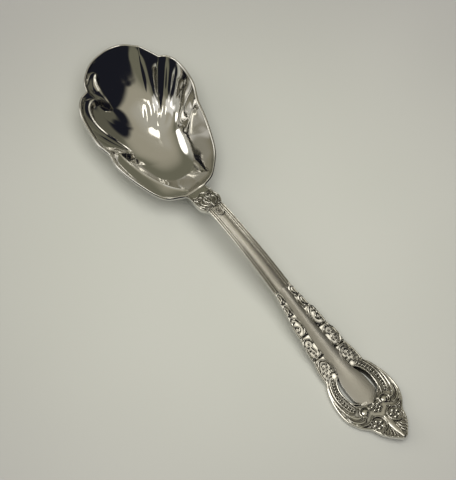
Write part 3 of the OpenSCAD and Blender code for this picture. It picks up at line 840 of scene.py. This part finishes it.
# Bowl: its outline in shares of its width and of its length from the neck
LEFT_LOBE_SHARES = [[-0.246, 0.063], [-0.331, 0.208], [-0.369, 0.362], [-0.349, 0.453]]
SIDE_LOBE_SHARES = [
    [-0.349, 0.453], [-0.37, 0.553], [-0.335, 0.7], [-0.292, 0.778], [-0.224, 0.831], [-0.143, 0.851],
]
FAR_LOBE_SHARES = [
    [-0.143, 0.851], [-0.114, 0.898], [-0.051, 0.945], [0.059, 0.988], [0.216, 1],
    [0.351, 0.974], [0.457, 0.91],
]
SHORT_LOBE_SHARES = [[0.457, 0.91], [0.497, 0.848], [0.53, 0.791]]
RIGHT_LOBE_SHARES = [[0.53, 0.791], [0.595, 0.757], [0.63, 0.679], [0.608, 0.545], [0.522, 0.419]]
HEEL_LOBE_SHARES = [
    [0.522, 0.419], [0.469, 0.304], [0.398, 0.189], [0.34, 0.117], [0.262, 0.06], [0.187, 0.02],
]


def placed(shares):
    return [[a * BOWL_W, NECK_Y + b * BOWL_L] for a, b in shares]


NECK_LEFT, NECK_RIGHT = [-NECK_W / 2, NECK_Y], [NECK_W / 2, NECK_Y]
LOBES = [
    [NECK_LEFT] + placed(LEFT_LOBE_SHARES), placed(SIDE_LOBE_SHARES), placed(FAR_LOBE_SHARES),
    placed(SHORT_LOBE_SHARES), placed(RIGHT_LOBE_SHARES), placed(HEEL_LOBE_SHARES) + [NECK_RIGHT],
    [NECK_RIGHT, NECK_LEFT],
]
# The lobes with flutes, and the straight edge at the neck, by their places in the list
FLUTED_LOBES, NECK_EDGE = (3, 4), 6
RIM_FINE = 1.3
LOBE_STEPS = [int(RIM_FINE * k) for k in (90, 90, 100, 36, 80, 84, 24)]
# Rings of the hollow inside and outside this share of the way to the land, and of the underside
INNER_SHARE, INNER_RINGS, OUTER_RINGS, LAND_RINGS, UNDER_RINGS = 0.4, 20, 91, 9, 29
RIM_SHARES = [0.8, 0.85, 0.99, 0.99, 0.975]
RIM_HEIGHTS = [NECK_H] + [s * RIM_H for s in RIM_SHARES] + [NECK_H, NECK_H]
CENTRE = np.array([0.119 * BOWL_W, 0.017 * BOWL_L])
WALL_POWER = 2.6
# Widths in rim points over which lobes, flutes and the lip are smoothed out
LOBE_BLUR, FLUTE_BLUR, LIP_BLUR = 16 * RIM_FINE, 12 * RIM_FINE, 4 * RIM_FINE
# Shares of the way to the land where the lobed outline starts to show, and over which it does so
LOBED_FROM, LOBED_OVER = 0.7, 0.3
FLUTED_FROM, FLUTED_OVER = 0.1, 0.5
# Scoops between the creases: lobe, start and end along it, depth share
SCOOPS = [(3, 0.0, 1.0, 0.9), (4, 0.0, 0.34, 0.8), (4, 0.34, 0.66, 0.7), (4, 0.66, 1.0, 0.9)]
SCOOP_FROM, SCOOP_OVER, SCOOP_END = 0.25, 0.4, 0.3
SCOOP_UNDER_POWER = 1.4
# Inner edge of the flange, with its hook and its leaf, from the neck to the rim past the leaf
STEP_LINE = [[-1.3, -22.4], [-4.2, -17.9], [-6.0, -13.2], [-7.3, -8.6], [-8.2, -3.9], [-8.8, -0.3]]
HOOK_LINE = [
    [-8.9, 0.5], [-7.4, 0.1], [-5.9, -0.5], [-4.9, -0.2], [-4.6, 0.9], [-4.9, 2.5], [-5.8, 5.2],
    [-7.0, 7.8], [-7.9, 10.3], [-8.3, 12.7], [-8.2, 15.1], [-7.7, 17.1], [-6.9, 18.7], [-5.6, 19.7],
    [-4.1, 20.0], [-2.6, 19.5],
]
LEAF_LINE = [
    [-1.7, 18.7], [-0.5, 17.7], [-0.3, 19.4], [-0.4, 21.6], [-0.3, 23.8], [0.2, 25.6], [1.1, 26.8],
    [1.2, 27.7], [0.5, 28.2], [-0.6, 28.0], [-1.8, 27.3], [-2.9, 26.3], [-3.9, 25.6],
]
# Corners far outside the rim that close the flange's area
OUTSIDE_CORNERS = [[-8, 36], [-40, 30], [-40, -40], [-1.4, -40]]
# Creases between the flutes from the rim inwards, the height of the crest and its half-widths
CREASES = [
    ([[17.9, 29.8], [14.3, 22.4], [11.9, 17.0], [10.0, 12.6]], 0.55, [1.5, 1.0]),
    ([[20.4, 21.9], [15.2, 14.9], [12.8, 10.7], [10.4, 6.9]], 0.85, [1.3, 0.7]),
    ([[22.0, 18.6], [17.8, 13.6], [14.8, 10.6]], 0.25, [1.1, 0.8]),
    ([[23.4, 15.0], [19.6, 12.3], [16.6, 10.1], [13.6, 7.6]], 0.5, [1.5, 1.0]),
    ([[24.0, 9.2], [20.0, 8.3], [16.6, 7.5], [13.4, 6.1]], 0.35, [1.8, 1.2]),
    ([[20.6, -0.4], [17.0, -0.8], [13.6, -2.6], [11.6, -4.6]], 0.6, [1.5, 1.1]),
]
CREST_ROUND, CREST_FADE_FROM, CREST_RISE = 0.15, 0.35, 0.12
# Low swells that carry on from the creases towards the middle
SWELLS = [
    ([[9.7, 13.6], [7.6, 10.2], [5.6, 7.4]], 0.08, 1.2),
    ([[11.9, 10.6], [9.6, 7.6], [7.4, 5.2]], 0.08, 1.2),
    ([[14.2, 7.4], [12.0, 5.0], [9.8, 3.2]], 0.08, 1.2),
]
# Flange: the step's slope starts this far outside its edge, and the wall sinks beside it
STEP_BEFORE, STEP_SLOPE_L, STEP_SINK_L, STEP_SINK_FROM = 0.5, 0.7, 4.5, 0.5
FLANGE_TILT, WIDEST_TILT, TILT_PIVOT, TILT_START_L = 0.52, 5.5, 0.3, 0.8
# Channel between the lips along the flange's edges: depth, start, slopes on both sides
CHANNEL_D, CHANNEL_FROM, CHANNEL_SLOPE_L, CHANNEL_TO_LAND_L = 0.12, 0.2, 0.9, 1.1
LIP_H, LIP_AT, LIP_REACH = 0.1, 0.25, 0.4
# Ridges on the leaf and on the flange's hook, and the seams where one fold leaves another
FOLDS = [
    ([[-3.2, 24.6], [-2.6, 22.6], [-1.9, 20.7], [-0.8, 18.6]], 0.12, 0.4),
    ([[-4.6, 22.6], [-4.1, 21.2], [-3.3, 20.1]], 0.1, 0.35),
    ([[-11.0, 11.6], [-9.9, 9.2], [-8.0, 5.6], [-5.6, 1.9]], 0.12, 0.5),
    ([[-11.4, 8.2], [-9.9, 5.4], [-8.0, 2.6], [-6.4, 0.7]], 0.1, 0.4),
]
FOLD_START, FOLD_SLOPE_L = 0.12, 0.3
SEAMS = [
    ([[-12.6, 4.6], [-11.2, 2.9], [-10.0, 1.8], [-8.9, 0.6]], 0.25, 0.8),
    ([[-8.2, 22.2], [-6.9, 21.4], [-5.4, 21.2], [-4.0, 20.2]], 0.25, 0.8),
]
SEAM_SLOPE_L = 0.15
# Painted shade in lines at the foot of the step and of the seams: strength, place and reach
FOOT_SHADE, STEP_FOOT, STEP_FOOT_REACH, SEAM_FOOT, SEAM_FOOT_REACH = 0.8, 0.4, 0.35, 0.15, 0.25
# Land along the rim: how far it bulges, how much its outer edge falls, and the upright edge below it
LAND_BULGE, LAND_FALL, EDGE_BULGE, EDGE_ROWS = 0.2, 0.12, 0.05, (0.35, 0.7)


def rim_points():
    """Rows of x, y, height, scoop depth, lobe and share of the lobe, round the rim."""
    rows = []
    for k, lobe in enumerate(LOBES):
        u = np.arange(LOBE_STEPS[k]) / LOBE_STEPS[k]
        p = trace(lobe, u)
        h = mix(RIM_HEIGHTS[k], RIM_HEIGHTS[k + 1], ease(u))
        scoop = np.zeros_like(u)
        for lobe_index, a, b, depth in SCOOPS:
            if lobe_index == k:
                v = (u - a) / (b - a)
                scoop += np.where((v >= 0) & (v <= 1), depth * 4 * v * (1 - v), 0)
        rows.append(np.column_stack([p, h, scoop, np.full(len(u), k), u]))
    return np.concatenate(rows)


def smoothed(values, width):
    """Closed list of points averaged with its neighbours over a width in points."""
    reach = np.arange(-int(3 * width), int(3 * width) + 1)
    weight = np.exp(-0.5 * (reach / width) ** 2)
    weight /= weight.sum()
    return sum(w * np.roll(values, -r, axis=0) for r, w in zip(reach, weight))


def signed_step(x, y):
    """Signed distance from the flange's edge: above 0 on the flange."""
    line = np.concatenate([
        trace(STEP_LINE, np.linspace(0, 1, 41)),
        trace(HOOK_LINE, np.linspace(0, 1, 113)),
        trace(LEAF_LINE, np.linspace(0, 1, 73)),
    ])
    best = from_line(x, y, line)[0]
    area = np.concatenate([line, OUTSIDE_CORNERS])
    inside = np.zeros(x.shape, bool)
    for a, b in zip(area, np.roll(area, -1, 0)):
        crosses = (a[1] > y) != (b[1] > y)
        with np.errstate(divide="ignore", invalid="ignore"):
            at = a[0] + (y - a[1]) * (b[0] - a[0]) / (b[1] - a[1])
        inside ^= crosses & (x < at)
    return np.where(inside, best, -best)


def cusp(q):
    """Crest with a narrow rounded top: 1 at q = 0, falling on both sides."""
    return np.exp(CREST_ROUND - np.hypot(q, CREST_ROUND))


def ring_places(s, reach, outline, round_outline, flutes):
    """Places round the centre at the share s of the way out, lobed near the rim and round inside."""
    lobed = mix(ease((s - LOBED_FROM) / LOBED_OVER), ease((s - FLUTED_FROM) / FLUTED_OVER), flutes)
    return CENTRE + (s * reach)[..., None] * (mix(round_outline, outline, lobed[..., None]) - CENTRE)


def fluted(z, x, y, s, flutes):
    """Adds the scoops of the flutes, the creases between them and the low swells inside."""
    z = z - FLUTE_D * flutes * ease((s - SCOOP_FROM) / SCOOP_OVER) * ease((1 - s) / SCOOP_END)
    for points, height, widths in CREASES:
        r, t = along(x, y, points)
        half = np.interp(t, [0, 1], widths)
        fade = 1 - ease((t - CREST_FADE_FROM) / (1 - CREST_FADE_FROM))
        z = z + height * fade * ease((1 - s) / CREST_RISE) * cusp(r / half)
    for points, height, width in SWELLS:
        r, t = along(x, y, points)
        z = z + height * np.sin(np.pi * clamp(t)) * hill(r / width)
    return z


def flanged(z, x, y, s, radius):
    """Adds the flange with its step, lips, folds and seams. Also gives the painted shade at each place."""
    d = signed_step(x, y)
    on_flange = ease((d + STEP_BEFORE) / STEP_SLOPE_L)
    sink = np.exp(-np.maximum(-d, 0) / STEP_SINK_L) * ease(s / STEP_SINK_FROM)
    z = z - FLANGE_DROP * sink * (1 - on_flange)
    # The flange lies flatter than the wall below it
    to_land = (1 - s) * radius
    width = to_land + np.maximum(d, 0)
    across = to_land / (width + HAIR)
    tilt = FLANGE_TILT * np.minimum(width, WIDEST_TILT) * (across - TILT_PIVOT)
    z = z + on_flange * tilt * ease(to_land / TILT_START_L)
    # Lips along both edges of the flange, with a shallow channel between them
    channel = ease((d - CHANNEL_FROM) / CHANNEL_SLOPE_L) * ease(to_land / CHANNEL_TO_LAND_L)
    z = z - CHANNEL_D * channel + LIP_H * hill((d - LIP_AT) / LIP_REACH)
    for points, height, width in FOLDS:
        r, t = along(x, y, points)
        rise = np.sin(np.pi * clamp(mix(FOLD_START, 1, t))) ** 0.5
        z = z + height * rise * cusp(r / width) * ease(d / FOLD_SLOPE_L)
    # Painted shade along the foot of the step and beside the seams
    painted_shade = FOOT_SHADE * hill((d + STEP_FOOT) / STEP_FOOT_REACH)
    for points, depth, width in SEAMS:
        r, _, side = from_line(x, y, trace(points, np.linspace(0, 1, 10 * len(points))))
        sunk = np.where(side > 0, np.exp(-r / width), 0)
        z = z - depth * on_flange * sunk * ease(r / SEAM_SLOPE_L)
        painted_shade = np.maximum(painted_shade, FOOT_SHADE * hill((r - SEAM_FOOT) / SEAM_FOOT_REACH) * on_flange)
    return z, painted_shade


def hollow_grid(rim, radius, round_outline, flutes):
    """Places of the hollow in rings from the centre to the land, and the painted shade each gets at the foot
    of an edge.
    """
    inner = np.linspace(0, INNER_SHARE, INNER_RINGS)[1:]
    s = np.concatenate([inner, np.linspace(INNER_SHARE, 1, OUTER_RINGS)[1:]])[:, None]
    places = ring_places(s, 1 - RIM_LAND_W / radius, rim[:, :2], round_outline, flutes)
    x, y = places[..., 0], places[..., 1]
    z = mix(FLOOR_T - REST_FLAT_D, rim[:, 2], s**WALL_POWER)
    z = fluted(z, x, y, s, flutes)
    z, painted_shade = flanged(z, x, y, s, radius)
    return np.stack([x, y, z], -1), painted_shade


def land_rows(rim, radius):
    """Rounded land along the rim and the upright edge outside it; plain where the collar joins."""
    outline = rim[:, :2]
    at_neck = (rim[:, 4] == NECK_EDGE).astype(float)
    lipped = 1 - smoothed(at_neck[:, None], LIP_BLUR)[:, 0]
    rows = []
    for a in np.linspace(0, 1, LAND_RINGS)[1:]:
        t = mix(1 - RIM_LAND_W / radius, 1, a)
        z = rim[:, 2] + (LAND_BULGE * math.sin(math.pi * a) - LAND_FALL * a**4) * lipped
        rows.append(np.column_stack([CENTRE + t[:, None] * (outline - CENTRE), z]))
    for a in EDGE_ROWS:
        t = 1 + EDGE_BULGE * math.sin(math.pi * a) / radius
        z = rim[:, 2] - LAND_FALL - (RIM_EDGE_T - LAND_FALL) * a
        rows.append(np.column_stack([CENTRE + t[:, None] * (outline - CENTRE), z]))
    return rows


def under_rows(rim, round_outline, flutes):
    """Underside in rings from the rim to the resting flat."""
    rows = []
    for s in np.linspace(1, 0, UNDER_RINGS)[:-1]:
        place = ring_places(s, np.ones(len(rim)), rim[:, :2], round_outline, flutes)
        z = mix(-REST_FLAT_D, rim[:, 2] - RIM_EDGE_T, s**WALL_POWER)
        z = z - FLUTE_D * rim[:, 3] * np.sin(np.pi * s**SCOOP_UNDER_POWER)
        rows.append(np.column_stack([place, np.maximum(z, 0)]))
    return rows


def bowl():
    rim = rim_points()
    n = len(rim)
    outline = rim[:, :2]
    round_outline = smoothed(outline, LOBE_BLUR)
    in_flutes = np.isin(rim[:, 4], FLUTED_LOBES).astype(float)
    flutes = smoothed(in_flutes[:, None], FLUTE_BLUR)[:, 0]
    radius = np.hypot(*(outline - CENTRE).T)
    hollow, painted_shade = hollow_grid(rim, radius, round_outline, flutes)
    rings = [hollow, np.array(land_rows(rim, radius)), np.array(under_rows(rim, round_outline, flutes))]
    grid = np.concatenate(rings)
    m = len(grid)
    top, bottom = [*CENTRE, FLOOR_T - REST_FLAT_D], [*CENTRE, 0.0]
    points = np.concatenate([grid.reshape(-1, 3), [top, bottom]])
    j, i = np.mgrid[0 : m - 1, 0:n]
    a = j * n + i
    b = j * n + (i + 1) % n
    faces = np.stack([q.ravel() for q in (b, b + n, a + n, a)], 1).tolist()
    # Fans that close the rings at the centre of the hollow and of the underside
    i = np.arange(n)
    faces += np.stack([np.full(n, m * n), (i + 1) % n, i], 1).tolist()
    last = (m - 1) * n
    faces += np.stack([np.full(n, m * n + 1), last + i, last + (i + 1) % n], 1).tolist()
    # The bowl's painted shade goes to the recess attribute of its material
    recess_shade = np.zeros(len(points))
    recess_shade[: painted_shade.size] = painted_shade.reshape(-1)
    values = {"recess_shade": recess_shade}
    return solid("bowl_metal", points, [(faces, True)], MIRROR, ["bowl"], values)


# Stage. Directions are azimuths from the photo's right towards its far side, and angles from the zenith.
PHOTO_RIGHT = np.array([0.792, -0.611, 0.0])
PHOTO_AWAY = np.array([0.611, 0.792, 0.0])
CAMERA_PLACE = (-142.500, -225.129, 406.284)
CAMERA_TARGET = (0.815, -39.433, 0.0)
CAMERA_SENSOR, CAMERA_LENS = 36, 118.9
# The floor is darker away from the spoon, as painted shade where the light falls off, with soft clouds in
# its tone
FLOOR_REACH = 3000.0
FLOOR_COLOUR = (0.515, 0.52, 0.465)
FLOOR_SHADE_COLOUR = (0.375, 0.366, 0.352)
FLOOR_EVEN_R, FLOOR_EDGE_R = 20.0, 150.0
FLOOR_CLOUD_COLOUR = (0.60, 0.59, 0.56)
FLOOR_CLOUD_SCALE, FLOOR_CLOUD_DETAIL, FLOOR_CLOUD_LOW, FLOOR_CLOUD_HIGH = 9.0, 2.0, 0.3, 1.6
FLOOR_ROUGHNESS, FLOOR_SHINE = 0.55, 0.15
# Patches of the room: colour, azimuth, zenith angle, and where its edge starts and ends in degrees
ROOM_WALLS = (0.20, 0.195, 0.14)
DARK = (0.014, 0.015, 0.022)
WINDOW = (2.8, 2.7, 2.5)
PALE_WALL = (1.0, 0.98, 0.92)
ROOM = [
    ((0.46, 0.43, 0.335), 100, 12, 28, 54),
    ((0.62, 0.61, 0.54), 176, 84, 10, 34),
    ((0.56, 0.54, 0.46), 130, 16, 2, 26),
    (DARK, -60, 73, 45.5, 50),
    (DARK, -62, 28, 2, 6),
    (DARK, -18, 73, 50, 58),
    ((0.14, 0.135, 0.1), 38, 64, 12, 26),
    (DARK, 41, 40, 10, 18),
    (DARK, -148, 70, 12, 20),
    (PALE_WALL, -177, 36, 12, 18),
    (PALE_WALL, -173, 53, 9, 14),
    (WINDOW, -173, 53, 4, 8),
    (WINDOW, 160, 64, 6, 10),
]
BORDERS = ("border_left_metal", "border_right_metal")
RELIEF_PIECES = BORDERS + ("collar_metal", "stem_metal", "terminal_metal")
# Lamps that the metal shows: azimuth, zenith angle, half-sizes in degrees, radiance and the pieces lit.
# The last four light the handle alone. They stand for pale things that only the handle faces.
LAMPS = [
    ("lamp_a", 100, 5, 3, 13, 2.6, BORDERS + ("bowl_metal", "collar_metal", "stem_metal")),
    ("lamp_b", 165, 21, 10, 2.4, 2.6, RELIEF_PIECES + ("bowl_metal",)),
    ("lamp_c", 98, 29, 3, 3.6, 2.0, ("bowl_metal",)),
    ("paper_a", 13, 17, 11, 11, 1.7, BORDERS),
    ("paper_b", 22, 23, 9, 9, 2.4, ("panel_metal",)),
    ("paper_c", 18, 20, 10, 10, 0.4, ("stem_metal",)),
    ("window", -176, 43, 16, 18, 3.4, RELIEF_PIECES),
]
LAMP_D = 1.3
LAMP_COLOUR = (1.0, 0.965, 0.86)
# Broad soft light from above, which polished metal doesn't show: azimuth, zenith angle, width, power
FILL_AZIMUTH, FILL_ZENITH, FILL_W, FILL_POWER = -71, 21, 1.2, 15.9


def towards(azimuth, zenith):
    """Unit direction from an azimuth and an angle from the zenith, in degrees."""
    a, z = math.radians(azimuth), math.radians(zenith)
    level = math.cos(a) * PHOTO_RIGHT + math.sin(a) * PHOTO_AWAY
    return math.sin(z) * level + np.array([0, 0, math.cos(z)])


def smooth_range(tree, value, low, high):
    """0 below low, 1 above high, and a soft rise between."""
    n = node(tree, "ShaderNodeMapRange", Value=value, From_Min=low, From_Max=high)
    n.interpolation_type = "SMOOTHSTEP"
    return n.outputs["Result"]


def floor():
    mesh = bpy.data.meshes.new("floor")
    reach = FLOOR_REACH * MM
    corners = [(-reach, -reach, 0), (reach, -reach, 0), (reach, reach, 0), (-reach, reach, 0)]
    mesh.from_pydata(corners, [], [(0, 1, 2, 3)])
    piece = new_object("floor", mesh)
    m, t, shader, place = new_material("floor_paint")
    shader.inputs["Roughness"].default_value = FLOOR_ROUGHNESS
    shader.inputs["Specular IOR Level"].default_value = FLOOR_SHINE
    away = t.nodes.new("ShaderNodeVectorMath")
    away.operation = "DISTANCE"
    feed(t, away.inputs[0], place)
    feed(t, away.inputs[1], (CAMERA_TARGET[0] * MM, CAMERA_TARGET[1] * MM, 0))
    # Painted shade: the floor turns darker away from the spoon
    edge = smooth_range(t, away.outputs["Value"], FLOOR_EVEN_R * MM, FLOOR_EDGE_R * MM)
    cloud = node(t, "ShaderNodeTexNoise", Vector=place, Scale=FLOOR_CLOUD_SCALE, Detail=FLOOR_CLOUD_DETAIL)
    base = blend(t, edge, FLOOR_COLOUR, FLOOR_SHADE_COLOUR)
    soft = smooth_range(t, cloud.outputs["Fac"], FLOOR_CLOUD_LOW, FLOOR_CLOUD_HIGH)
    feed(t, shader.inputs["Base Color"], blend(t, soft, base, FLOOR_CLOUD_COLOUR))
    piece.data.materials.append(m)


def look(piece, eye, target):
    """Puts a lamp or the camera at a place and turns it to a target."""
    piece.location = Vector(eye)
    piece.rotation_euler = (Vector(target) - Vector(eye)).to_track_quat("-Z", "Y").to_euler()


def camera():
    data = bpy.data.cameras.new("camera")
    data.sensor_fit = "VERTICAL"
    data.sensor_height = CAMERA_SENSOR
    data.lens = CAMERA_LENS
    data.clip_start = 0.01
    data.clip_end = 20
    piece = new_object("camera", data)
    look(piece, [v * MM for v in CAMERA_PLACE], [v * MM for v in CAMERA_TARGET])
    bpy.context.scene.camera = piece


def lamp(name, direction, size, power, colour=(1, 1, 1)):
    """Oval area lamp that shines at the origin from a direction."""
    data = bpy.data.lights.new(name, "AREA")
    data.shape = "ELLIPSE"
    data.size, data.size_y = size
    data.energy = power
    data.color = colour
    piece = new_object(name, data)
    look(piece, LAMP_D * direction, (0, 0, 0))
    return piece


def lights():
    for name, azimuth, zenith, across, high, radiance, lit in LAMPS:
        size = [2 * LAMP_D * math.tan(math.radians(a)) for a in (across, high)]
        area = math.pi * size[0] * size[1] / 4
        light = lamp(name, towards(azimuth, zenith), size, radiance * math.pi * area, LAMP_COLOUR)
        group = bpy.data.collections.new(name)
        for piece in lit:
            group.objects.link(bpy.data.objects[piece])
        light.light_linking.receiver_collection = group
    fill = lamp("fill", towards(FILL_AZIMUTH, FILL_ZENITH), (FILL_W, FILL_W), FILL_POWER)
    fill.visible_glossy = False


def room():
    """World with soft-edged patches, as the polished metal shows them."""
    world = bpy.data.worlds.new("room")
    bpy.context.scene.world = world
    world.use_nodes = True
    t = world.node_tree
    place = node(t, "ShaderNodeTexCoord").outputs["Generated"]
    colour = ROOM_WALLS
    for patch, azimuth, zenith, start, end in ROOM:
        dot = t.nodes.new("ShaderNodeVectorMath")
        dot.operation = "DOT_PRODUCT"
        feed(t, dot.inputs[0], place)
        feed(t, dot.inputs[1], towards(azimuth, zenith))
        low, high = math.cos(math.radians(end)), math.cos(math.radians(start))
        colour = blend(t, smooth_range(t, dot.outputs["Value"], low, high), colour, patch)
    feed(t, t.nodes["Background"].inputs["Color"], colour)


bpy.context.scene.view_settings.view_transform = "Standard"
handle()
bowl()
floor()
camera()
lights()
room()
